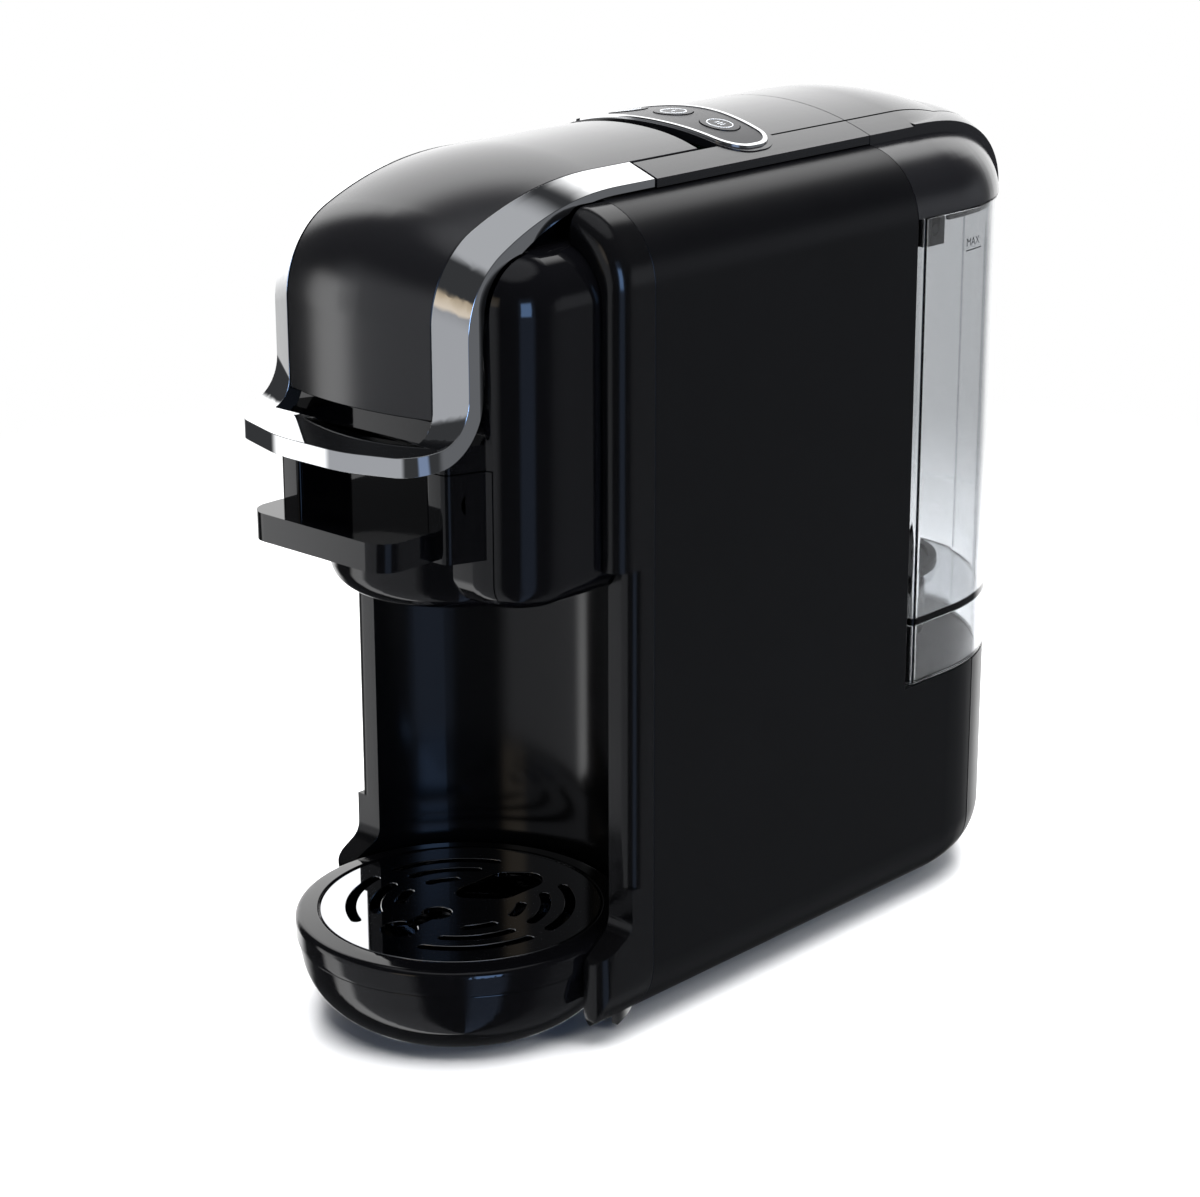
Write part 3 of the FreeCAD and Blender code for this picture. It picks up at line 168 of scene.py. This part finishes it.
# each softbox: its place, side and power; all of them point at a spot low in the machine
lamp_aim = Vector((0, 0, 0.1))
for name, place, side, power in (("overhead_softbox", (0.05, 0.05, 1.5), 1.5, 62.0),
                                 ("side_softbox", (1.1, 0.3, 0.9), 0.6, 5.0),
                                 ("far_softbox", (-1.5, 1.7, 1.8), 2.4, 90.0)):
    lamp = bpy.data.lights.new(name, "AREA")
    lamp.shape = "SQUARE"
    lamp.size = side
    lamp.energy = power
    holder = bpy.data.objects.new(name, lamp)
    holder.location = place
    holder.rotation_euler = (lamp_aim - Vector(place)).to_track_quat("-Z", "Y").to_euler()
    holder.visible_glossy = False
    holder.visible_transmission = False
    bpy.context.scene.collection.objects.link(holder)

reach = 9
floor_mesh = bpy.data.meshes.new("floor")
floor_mesh.from_pydata([(-reach, -reach, 0), (reach, -reach, 0), (reach, reach, 0),
                        (-reach, reach, 0)], [], [(0, 1, 2, 3)])
floor = bpy.data.objects.new("floor", floor_mesh)
bpy.context.scene.collection.objects.link(floor)
floor.visible_glossy = False
# pale acrylic: a soft sheen under the machine and no reflection that draws the eye
floor_paint = bpy.data.materials.new("pale acrylic sheet")
floor_paint.use_nodes = True
sheet = floor_paint.node_tree
sheet.nodes.clear()
sheet_gloss = add(sheet, "ShaderNodeBsdfPrincipled",
                  {"Base Color": linear("#f6f6f7"), "Roughness": 0.16, "IOR": 1.28})
# it fades into the white room between these distances, so every view has a plain pale surround
fade_from, fade_to = 0.32, 0.75
sheet_place = add(sheet, "ShaderNodeTexCoord").outputs["Object"]
sheet_reach = add(sheet, "ShaderNodeVectorMath", {0: sheet_place},
                  operation="LENGTH").outputs["Value"]
sheet_fade = add(sheet, "ShaderNodeMapRange",
                 {"Value": sheet_reach, "From Min": fade_from, "From Max": fade_to},
                 interpolation_type="SMOOTHSTEP").outputs[0]
sheet_open = add(sheet, "ShaderNodeBsdfTransparent").outputs[0]
sheet_whole = add(sheet, "ShaderNodeMixShader",
                  {"Fac": sheet_fade, 1: sheet_gloss.outputs[0], 2: sheet_open}).outputs[0]
add(sheet, "ShaderNodeOutputMaterial", {"Surface": sheet_whole})
floor_mesh.materials.append(floor_paint)


# ------------------------------------------------------------------ side panels and rear shell
# Injection-moulded ABS shells with a fine satin face, clipped to the base from both sides. The
# rear shell closes the round back under the tank.
MM = 0.001


def moulded(name, colour, worn, roughness, spread, grain_mm, grain_depth, wave_depth=0.0,
            level=0.5):
    """A moulded skin: two close tones, uneven gloss from handling, mould grain, a long faint wave.

    The sizes and depths are in millimetres.
    """
    blotch_mm = 40.0    # as wide as a hand leaves them
    wave_mm = 62.5      # moulding sink
    material = bpy.data.materials.new(name)
    material.use_nodes = True
    tree = material.node_tree
    tree.nodes.clear()
    place = add(tree, "ShaderNodeTexCoord").outputs["Object"]
    blotch = add(tree, "ShaderNodeTexNoise",
                 {"Vector": place, "Scale": 1000.0 / blotch_mm, "Detail": 4.0}).outputs[0]
    tone = add(tree, "ShaderNodeMix", {"Factor": blotch, 6: linear(colour), 7: linear(worn)},
               data_type="RGBA")
    gloss = add(tree, "ShaderNodeMapRange",
                {"Value": blotch, "From Min": 0.3, "From Max": 0.7,
                 "To Min": roughness - spread, "To Max": roughness + spread})
    grain = add(tree, "ShaderNodeTexNoise",
                {"Vector": place, "Scale": 1000.0 / grain_mm, "Detail": 2.0}).outputs[0]
    fine = add(tree, "ShaderNodeBump",
               {"Height": grain, "Strength": 1.0, "Distance": grain_depth * MM})
    wave = add(tree, "ShaderNodeTexNoise",
               {"Vector": place, "Scale": 1000.0 / wave_mm, "Detail": 0.0}).outputs[0]
    sink = add(tree, "ShaderNodeBump", {"Height": wave, "Strength": 1.0,
                                        "Distance": wave_depth * MM, "Normal": fine.outputs[0]})
    skin = add(tree, "ShaderNodeBsdfPrincipled",
               {"Base Color": tone.outputs[2], "Roughness": gloss.outputs[0], "IOR": 1.5,
                "Specular IOR Level": level, "Normal": sink.outputs[0]})
    add(tree, "ShaderNodeOutputMaterial", {"Surface": skin.outputs[0]})
    return material


def finish_shell(node, material, edge_mm=0.35):
    """The CAD shell with its arrises eased and its curved faces shaded smooth."""
    merge_gap = 2e-6
    flat_angle = math.radians(0.05)
    sharp_angle = math.radians(32.0)
    source = frame["nodes"][node]
    mesh = source.data.copy()
    shell = bmesh.new()
    shell.from_mesh(mesh)
    bmesh.ops.remove_doubles(shell, verts=shell.verts, dist=merge_gap)
    bmesh.ops.dissolve_degenerate(shell, edges=shell.edges, dist=merge_gap)
    flat = [edge for edge in shell.edges
            if len(edge.link_faces) == 2 and edge.calc_face_angle(0.0) < flat_angle]
    bmesh.ops.dissolve_limit(shell, angle_limit=flat_angle, verts=[], edges=flat)
    for face in shell.faces:
        face.smooth = True
    for edge in shell.edges:
        edge.smooth = len(edge.link_faces) == 2 and edge.calc_face_angle(0.0) < sharp_angle
    shell.to_mesh(mesh)
    shell.free()
    mesh.materials.clear()
    mesh.materials.append(material)
    piece = bpy.data.objects.new(node + "_finished", mesh)
    bpy.context.scene.collection.objects.link(piece)
    ease = piece.modifiers.new("eased edges", "BEVEL")
    ease.width = edge_mm * MM
    ease.segments = 2
    ease.limit_method = "ANGLE"
    ease.angle_limit = sharp_angle
    even = piece.modifiers.new("even shading", "WEIGHTED_NORMAL")
    even.keep_sharp = True
    even.weight = 60
    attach(piece, source["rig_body"])
    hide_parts(node)


# satin ABS: a fine even texture from the mould, so it shows black with a faint sheen
satin_abs = moulded("satin black ABS", "#050506", "#08080a", 0.30, 0.02, 0.5, 0.006, level=0.35)
# gloss ABS: polished mould, mirror-like with a slight waviness
gloss_abs = moulded("gloss black ABS", "#040405", "#070709", 0.055, 0.015, 1.2, 0.0006, 0.02)
for node in ("side_panel_left", "side_panel_right"):
    finish_shell(node, satin_abs)
finish_shell("rear_panel", satin_abs)

# ------------------------------------------------------------------ base, feet and screws
# A flat moulded plate closes the underside; four soft feet are glued in its cups and four screws
# hold it.
# ABS left as it comes from an eroded mould: dull, and it shows no lamp
inner_abs = moulded("matt black ABS", "#0c0c0d", "#121214", 0.5, 0.05, 0.8, 0.02)
# moulded rubber: dull and a little dusty
soft_rubber = moulded("black rubber", "#0b0b0b", "#131313", 0.75, 0.05, 0.6, 0.03)


def dress(nodes, material):
    """Gives CAD nodes that keep their shape their finish."""
    for node in nodes:
        piece = frame["nodes"][node]
        piece.data.materials.clear()
        piece.data.materials.append(material)


dress(("base_plate", "inner_chassis", "lever_frame", "cable_gland", "brew_guide", "guide_cap",
       "pump_body", "pump_outlet", "flow_meter", "micro_switch", "valve_stop", "valve_plunger"),
      inner_abs)
dress(("feet", "tank_seat_seal", "piston_gasket", "pump_mounts"), soft_rubber)


def metal(name, colour, roughness, spread, scratch_mm, bump_mm=0.0):
    """A metal with uneven polish: its roughness and its relief follow one noise."""
    material = bpy.data.materials.new(name)
    material.use_nodes = True
    tree = material.node_tree
    tree.nodes.clear()
    place = add(tree, "ShaderNodeTexCoord").outputs["Object"]
    noise = add(tree, "ShaderNodeTexNoise",
                {"Vector": place, "Scale": 1000.0 / scratch_mm, "Detail": 3.0}).outputs[0]
    polish = add(tree, "ShaderNodeMapRange",
                 {"Value": noise, "From Min": 0.3, "From Max": 0.7,
                  "To Min": roughness - spread, "To Max": roughness + spread})
    relief = add(tree, "ShaderNodeBump",
                 {"Height": noise, "Strength": 1.0, "Distance": bump_mm * MM})
    skin = add(tree, "ShaderNodeBsdfPrincipled",
               {"Base Color": linear(colour), "Metallic": 1.0, "Roughness": polish.outputs[0],
                "Normal": relief.outputs[0]})
    add(tree, "ShaderNodeOutputMaterial", {"Surface": skin.outputs[0]})
    return material


# zinc plate: bright grey with a cloudy shine
steel = metal("zinc-plated steel", "#b9bcc0", 0.25, 0.06, 0.6, 0.002)
# die casting: dull silver with a slightly rough skin
cast = metal("die-cast aluminium", "#a9acb0", 0.42, 0.08, 1.5, 0.03)
dress(("base_screws", "lever_axle", "lever_screws", "needle_plate", "boiler_bracket",
       "board_bracket", "thermostats", "piston_spring", "valve_spring"), steel)
dress(("thermoblock", "brew_piston"), cast)

# ------------------------------------------------------------------ pump, boards and hoses
# The pump's copper coil is wound round its bobbin under an amber wrap, the boards are green
# laminate, and the hoses are milky silicone pushed over barbed stubs.
# extruded silicone: pale and waxy
silicone = moulded("milky silicone", "#b9b9b4", "#c9c9c4", 0.45, 0.05, 2.0, 0.01)
# laminate under solder mask: deep green with a soft shine
laminate = moulded("green circuit board", "#0d4a26", "#10562d", 0.35, 0.05, 1.0, 0.01)
# varnished tape: brown, half dull
wrap = moulded("amber coil wrap", "#5a3d14", "#6d4c1c", 0.4, 0.05, 0.7, 0.03)
dress(("hose_boiler", "hose_head", "hose_pump", "hose_tank"), silicone)
dress(("control_board", "button_board"), laminate)
dress(("pump_coil",), wrap)

# ------------------------------------------------------------------ front frame and head
# One polished moulding frames the head, sweeps into the hollow column behind the cup and embraces
# the bowl; the head barrel is a second polished moulding pushed into it.
# the frame's mould is polished less than the barrel's, so its reflections are broad and soft
soft_gloss_abs = moulded("semi-gloss black ABS", "#060607", "#09090a", 0.14, 0.02, 1.2, 0.0008,
                         0.02)
finish_shell("front_frame", soft_gloss_abs, edge_mm=0.9)
finish_shell("head_housing", gloss_abs)

# ------------------------------------------------------------------ capsule drawer
# A polished drawer that carries the capsule cup; it is drawn out by the broad tab at its front.
# The spout under it is pushed into its floor.
finish_shell("capsule_drawer", gloss_abs, edge_mm=0.6)
dress(("cup_insert",), inner_abs)
finish_shell("outlet_spout", gloss_abs)

# ------------------------------------------------------------------ drip bowl and grate
# The bowl and its rim are polished mouldings; the grate is a mirror-polished pressing with slots
# in arcs.
# polished steel: it mirrors the column above it almost without haze
mirror_steel = metal("mirror-polished steel", "#c4c5c8", 0.03, 0.01, 6.0)
finish_shell("drip_bowl", gloss_abs, edge_mm=0.5)
finish_shell("drip_rim", gloss_abs, edge_mm=0.5)
finish_shell("drip_grate", mirror_steel, edge_mm=0.3)

# ------------------------------------------------------------------ lever: nose cover and handle
# The chrome-plated handle is cast in one piece, screwed with the nose cover to a frame that turns
# on the axle.
# bright chrome: a clean mirror with a barely uneven face
bright_chrome = metal("bright chrome plate", "#e6e7e8", 0.025, 0.01, 12.0, 0.01)
finish_shell("handle", bright_chrome, edge_mm=0.7)
# the nose cover, the top cover and the lid are lightly textured in the mould: a soft grey haze
cover_abs = moulded("satin-gloss black ABS", "#0e0e10", "#121214", 0.20, 0.02, 0.8, 0.002, 0.02,
                    level=0.9)
finish_shell("lever_cover", cover_abs)

# ------------------------------------------------------------------ top cover and control panel
# Two raised rails and the strip behind them are one moulding. The oval panel is set into it inside
# a thin chrome trim, with three touch-in buttons under printed rings.
# the panel's plastic: a dark grey, duller than the cover round it
panel_plastic = moulded("dark grey panel", "#131315", "#17171a", 0.34, 0.03, 1.0, 0.002, level=0.3)
finish_shell("top_cover", cover_abs)
finish_shell("control_panel", panel_plastic, edge_mm=0.2)
finish_shell("control_panel_trim", bright_chrome, edge_mm=0.2)
for node in ("button_cold", "button_hot", "button_power"):
    finish_shell(node, panel_plastic, edge_mm=0.2)


def grown(name, body, material, sizes, draw):
    """A piece drawn by geometry nodes from named sizes, made a plain mesh that rides on a body."""
    tree = bpy.data.node_groups.new(name, "GeometryNodeTree")
    tree.interface.new_socket("Geometry", in_out="OUTPUT", socket_type="NodeSocketGeometry")
    kinds = {int: "NodeSocketInt", float: "NodeSocketFloat", tuple: "NodeSocketVector"}
    for label, value in sizes.items():
        tree.interface.new_socket(label, in_out="INPUT", socket_type=kinds[type(value)])
    drawn = draw(tree, add(tree, "NodeGroupInput").outputs)
    whole = add(tree, "GeometryNodeRealizeInstances", {"Geometry": drawn}).outputs[0]
    painted = add(tree, "GeometryNodeSetMaterial",
                  {"Geometry": whole, "Material": material}).outputs[0]
    add(tree, "NodeGroupOutput", {"Geometry": painted})
    piece = bpy.data.objects.new(name, bpy.data.meshes.new(name + "_seed"))
    bpy.context.scene.collection.objects.link(piece)
    maker = piece.modifiers.new("maker", "NODES")
    maker.node_group = tree
    for item in tree.interface.items_tree:
        if item.in_out == "INPUT":
            maker[item.identifier] = sizes[item.name]
    drawn_piece = piece.evaluated_get(bpy.context.evaluated_depsgraph_get())
    mesh = bpy.data.meshes.new_from_object(drawn_piece)
    piece.modifiers.remove(maker)
    piece.data = mesh
    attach(piece, body)
    return piece


def icon_ring(tree, size):
    """A printed ring with short bars inside it, laid on a button and leaned with the crown."""
    line = add(tree, "GeometryNodeCurvePrimitiveCircle",
               {"Resolution": 6, "Radius": size["Line"]}, mode="RADIUS")
    ring = add(tree, "GeometryNodeCurvePrimitiveCircle",
               {"Resolution": 48, "Radius": size["Ring"]}, mode="RADIUS")
    ring_print = add(tree, "GeometryNodeCurveToMesh",
                     {"Curve": ring.outputs[0], "Profile Curve": line.outputs[0]})
    bar_end = add(tree, "ShaderNodeCombineXYZ", {"Y": size["Bar"]}).outputs[0]
    bar = add(tree, "GeometryNodeCurvePrimitiveLine", {"End": bar_end}, mode="POINTS")
    bar_print = add(tree, "GeometryNodeCurveToMesh",
                    {"Curve": bar.outputs[0], "Profile Curve": line.outputs[0],
                     "Fill Caps": True})
    step = add(tree, "ShaderNodeCombineXYZ", {"X": size["Bar pitch"]}).outputs[0]
    row = add(tree, "GeometryNodeMeshLine",
              {"Count": size["Bars"], "Start Location": size["Row start"], "Offset": step},
              mode="OFFSET")
    bars = add(tree, "GeometryNodeInstanceOnPoints",
               {"Points": row.outputs[0], "Instance": bar_print.outputs[0]})
    both = add(tree, "GeometryNodeJoinGeometry")
    for part in (ring_print, bars):
        tree.links.new(part.outputs[0], both.inputs[0])
    return add(tree, "GeometryNodeTransform",
               {"Geometry": both.outputs[0], "Translation": size["Centre"],
                "Rotation": size["Lean"]}).outputs[0]


# pad print: a flat pale ink with no shine of its own
print_ink = moulded("light grey pad print", "#b9bcc0", "#c4c7ca", 0.4, 0.03, 0.4, 0.002)
# the panel's crown is an arc across the machine; the prints stand a tenth of a millimetre proud
crown_radius = 0.110
crown_top = 0.2822
print_radius = 0.22 * MM
print_sunk = 0.12 * MM
bar_length = 2.6 * MM
bar_pitch = 1.3 * MM
for node, bars in (("button_cold", 2), ("button_power", 1), ("button_hot", 3)):
    low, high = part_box(node)
    middle = (low + high) / 2
    lean = math.asin(middle[0] / crown_radius)
    button_top = crown_top - crown_radius * (1 - math.cos(lean))
    grown("ring_" + node, frame["nodes"][node]["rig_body"], print_ink,
          {"Line": print_radius, "Ring": 4.3 * MM, "Bar": bar_length, "Bar pitch": bar_pitch,
           "Bars": bars, "Row start": (-bar_pitch * (bars - 1) / 2, -bar_length / 2, 0.0),
           "Centre": (middle[0], middle[1], button_top - print_sunk), "Lean": (0.0, lean, 0.0)},
          icon_ring)

# ------------------------------------------------------------------ water tank, its seat and lid
# The tank is moulded in clear SAN, with ribs inside its round wall and a dark seat showing through
# it; its lid hooks on two pins. A steel spring closes the valve in its floor, and a like one
# returns the brew piston.
# clear SAN: glass-like, with the faint flow waves of a thick moulding
tank_clear = bpy.data.materials.new("clear moulded SAN")
tank_clear.use_nodes = True
tank_tree = tank_clear.node_tree
tank_tree.nodes.clear()
flow_mm = 100.0 / 3
tank_place = add(tank_tree, "ShaderNodeTexCoord").outputs["Object"]
tank_flow = add(tank_tree, "ShaderNodeTexNoise",
                {"Vector": tank_place, "Scale": 1000.0 / flow_mm, "Detail": 2.0}).outputs[0]
tank_polish = add(tank_tree, "ShaderNodeMapRange",
                  {"Value": tank_flow, "To Min": 0.02, "To Max": 0.06})
tank_wave = add(tank_tree, "ShaderNodeBump",
                {"Height": tank_flow, "Strength": 1.0, "Distance": 0.02 * MM})
tank_skin = add(tank_tree, "ShaderNodeBsdfPrincipled",
                {"Base Color": linear("#d2d4d6"), "Roughness": tank_polish.outputs[0], "IOR": 1.45,
                 "Transmission Weight": 1.0, "Normal": tank_wave.outputs[0]})
add(tank_tree, "ShaderNodeOutputMaterial", {"Surface": tank_skin.outputs[0]})
finish_shell("water_tank", tank_clear, edge_mm=0.3)


def wound_wire(tree, size):
    """A helix of round wire standing on its foot."""
    turns = add(tree, "GeometryNodeCurveSpiral",
                {"Resolution": 28, "Rotations": size["Turns"], "Start Radius": size["Radius"],
                 "End Radius": size["Radius"], "Height": size["Height"]})
    wire = add(tree, "GeometryNodeCurvePrimitiveCircle",
               {"Resolution": 10, "Radius": size["Wire"]}, mode="RADIUS")
    helix = add(tree, "GeometryNodeCurveToMesh",
                {"Curve": turns.outputs[0], "Profile Curve": wire.outputs[0], "Fill Caps": True})
    return add(tree, "GeometryNodeTransform",
               {"Geometry": helix.outputs[0], "Translation": size["Foot"]}).outputs[0]


# each spring: its turns and the radius of its wire; the valve's gives a little more than the 3 mm
# by which the plunger lifts
for node, turns, wire in (("piston_spring", 4.5, 0.7 * MM), ("valve_spring", 6.5, 0.35 * MM)):
    low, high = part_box(node)
    height = high[2] - low[2]
    spring = grown(node + "_wound", frame["nodes"][node]["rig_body"], steel,
                   {"Turns": turns, "Radius": (high[0] - low[0]) / 2 - wire,
                    "Height": height - 2 * wire, "Wire": wire,
                    "Foot": ((low[0] + high[0]) / 2, (low[1] + high[1]) / 2, low[2] + wire)},
                   wound_wire)
    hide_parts(node)
    if node == "valve_spring":
        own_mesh(spring)
finish_shell("tank_lid", cover_abs)
for node in ("tank_seat", "tank_outlet", "tank_lugs", "lid_hooks", "tank_filter"):
    finish_shell(node, inner_abs, edge_mm=0.2)

tank_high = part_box("water_tank")[1]
tank_half = tank_high[0]
tank_turn_y = tank_high[1] - tank_half    # centre of the round rear wall


def wall_ribs(tree, size):
    """Slim upright ribs spaced round the inside of the tank's rear wall."""
    path = add(tree, "GeometryNodeCurveArc",
               {"Resolution": size["Ribs"], "Radius": size["Radius"], "Start Angle": size["From"],
                "Sweep Angle": size["Sweep"]}, mode="RADIUS")
    foot = add(tree, "GeometryNodeCurveToPoints",
               {"Curve": path.outputs[0], "Count": size["Ribs"]}, mode="COUNT")
    top = add(tree, "ShaderNodeCombineXYZ", {"Z": size["Height"]}).outputs[0]
    run = add(tree, "GeometryNodeCurvePrimitiveLine", {"End": top}, mode="POINTS")
    round_rib = add(tree, "GeometryNodeCurvePrimitiveCircle",
                    {"Resolution": 12, "Radius": size["Thick"]}, mode="RADIUS")
    rib = add(tree, "GeometryNodeCurveToMesh",
              {"Curve": run.outputs[0], "Profile Curve": round_rib.outputs[0], "Fill Caps": True})
    ribs = add(tree, "GeometryNodeInstanceOnPoints",
               {"Points": foot.outputs[0], "Instance": rib.outputs[0]})
    return add(tree, "GeometryNodeTransform",
               {"Geometry": ribs.outputs[0], "Translation": size["Centre"]}).outputs[0]


rib_inset = 2.7 * MM
rib_foot = 0.108
grown("tank_ribs", frame["nodes"]["water_tank"]["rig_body"], tank_clear,
      {"Ribs": 7, "Radius": tank_half - rib_inset, "From": math.radians(18),
       "Sweep": math.radians(144), "Height": 0.126, "Thick": 0.35 * MM,
       "Centre": (0.0, tank_turn_y, rib_foot)}, wall_ribs)

# black pad print: the fill mark on the tank's side, flat and dull against the clear wall
fill_ink = moulded("black pad print", "#202124", "#26272a", 0.5, 0.03, 0.4, 0.002)


def printed_on_wall(name, mesh):
    """Flat print given in the wall's own plane, y along and z up, laid on the round side wall."""
    stand = 0.03 * MM
    for vertex in mesh.vertices:
        along = vertex.co.y
        vertex.co.x = math.sqrt(tank_half ** 2 - (along - tank_turn_y) ** 2) + stand
    mesh.materials.clear()
    mesh.materials.append(fill_ink)
    piece = bpy.data.objects.new(name, mesh)
    bpy.context.scene.collection.objects.link(piece)
    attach(piece, frame["nodes"]["water_tank"]["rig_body"])


mark_y = tank_turn_y + 2.4 * MM
letter_foot = 0.2338
line_foot, line_head = 0.2322, 0.2326
line_length = 10.0 * MM
line_steps = 12
letters = bpy.data.curves.new("fill_mark", "FONT")
letters.body = "MAX"
letters.size = 4.0 * MM
letters_holder = bpy.data.objects.new("fill_mark_text", letters)
bpy.context.scene.collection.objects.link(letters_holder)
drawn_letters = letters_holder.evaluated_get(bpy.context.evaluated_depsgraph_get())
fill_mesh = bpy.data.meshes.new_from_object(drawn_letters)
bpy.data.objects.remove(letters_holder)
for vertex in fill_mesh.vertices:
    vertex.co = (0.0, mark_y + vertex.co.x, letter_foot + vertex.co.y)
printed_on_wall("fill_mark", fill_mesh)
line_mesh = bpy.data.meshes.new("fill_line")
line_points = [(0.0, mark_y + line_length * i / line_steps, z)
               for z in (line_foot, line_head) for i in range(line_steps + 1)]
line_faces = [(i, i + 1, i + line_steps + 2, i + line_steps + 1) for i in range(line_steps)]
line_mesh.from_pydata(line_points, [], line_faces)
printed_on_wall("fill_line", line_mesh)

bpy.context.view_layer.update()
